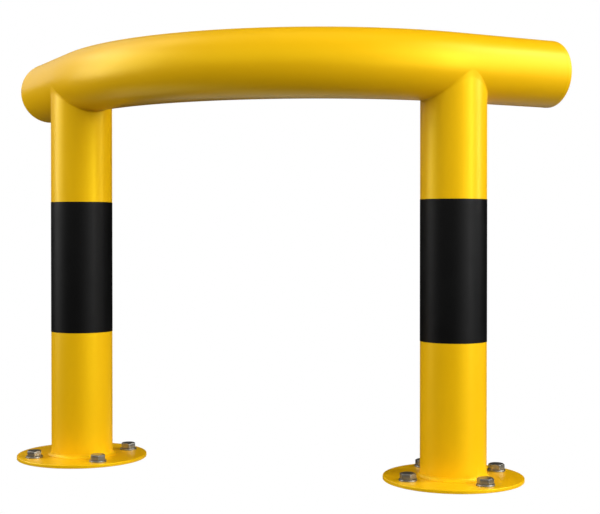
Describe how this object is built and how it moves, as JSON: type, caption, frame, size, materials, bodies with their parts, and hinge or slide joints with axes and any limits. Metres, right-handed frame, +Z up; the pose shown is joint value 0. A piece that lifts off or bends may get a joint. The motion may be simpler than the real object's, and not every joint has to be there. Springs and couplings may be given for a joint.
{
  "type": "corner guard bollard",
  "caption": "Low steel impact guard: a bent tube rail on two round posts with flanged feet and sleeve anchors, to keep vehicles off a corner.",
  "frame": {"origin": "midway between the posts' axes, on the plane of the base plates' undersides, which is the ground", "axes": "+Z up, +X from the left post to the right post, -Y towards the bulge of the rail, the side that takes the blows"},
  "size_m": [0.6956, 0.2532, 0.545],
  "materials": {
    "yellow_powder_coat": "smooth semi-gloss yellow powder coat over the welded frame",
    "black_film": "satin black marking film",
    "zinc_plated_steel": "bright zinc plating",
    "plain_steel": "dull turned steel"
  },
  "bodies": {
    "root": {"rail": "yellow_powder_coat", "left_post": "yellow_powder_coat", "left_base_plate": "yellow_powder_coat", "left_rail_cap": "yellow_powder_coat", "left_cap_weld": "yellow_powder_coat", "left_saddle_weld": "yellow_powder_coat", "left_foot_weld": "yellow_powder_coat", "left_band": "black_film", "right_post": "yellow_powder_coat", "right_base_plate": "yellow_powder_coat", "right_rail_cap": "yellow_powder_coat", "right_cap_weld": "yellow_powder_coat", "right_saddle_weld": "yellow_powder_coat", "right_foot_weld": "yellow_powder_coat", "right_band": "black_film", "left_anchor_bolt_1": "zinc_plated_steel", "left_anchor_bolt_2": "zinc_plated_steel", "left_anchor_bolt_3": "zinc_plated_steel", "left_anchor_bolt_4": "zinc_plated_steel", "left_anchor_washer_1": "zinc_plated_steel", "left_anchor_washer_2": "zinc_plated_steel", "left_anchor_washer_3": "zinc_plated_steel", "left_anchor_washer_4": "zinc_plated_steel", "left_anchor_sleeve_1": "zinc_plated_steel", "left_anchor_sleeve_2": "zinc_plated_steel", "left_anchor_sleeve_3": "zinc_plated_steel", "left_anchor_sleeve_4": "zinc_plated_steel", "left_anchor_cone_nut_1": "plain_steel", "left_anchor_cone_nut_2": "plain_steel", "left_anchor_cone_nut_3": "plain_steel", "left_anchor_cone_nut_4": "plain_steel", "right_anchor_bolt_1": "zinc_plated_steel", "right_anchor_bolt_2": "zinc_plated_steel", "right_anchor_bolt_3": "zinc_plated_steel", "right_anchor_bolt_4": "zinc_plated_steel", "right_anchor_washer_1": "zinc_plated_steel", "right_anchor_washer_2": "zinc_plated_steel", "right_anchor_washer_3": "zinc_plated_steel", "right_anchor_washer_4": "zinc_plated_steel", "right_anchor_sleeve_1": "zinc_plated_steel", "right_anchor_sleeve_2": "zinc_plated_steel", "right_anchor_sleeve_3": "zinc_plated_steel", "right_anchor_sleeve_4": "zinc_plated_steel", "right_anchor_cone_nut_1": "plain_steel", "right_anchor_cone_nut_2": "plain_steel", "right_anchor_cone_nut_3": "plain_steel", "right_anchor_cone_nut_4": "plain_steel"}
  },
  "joints": []
}
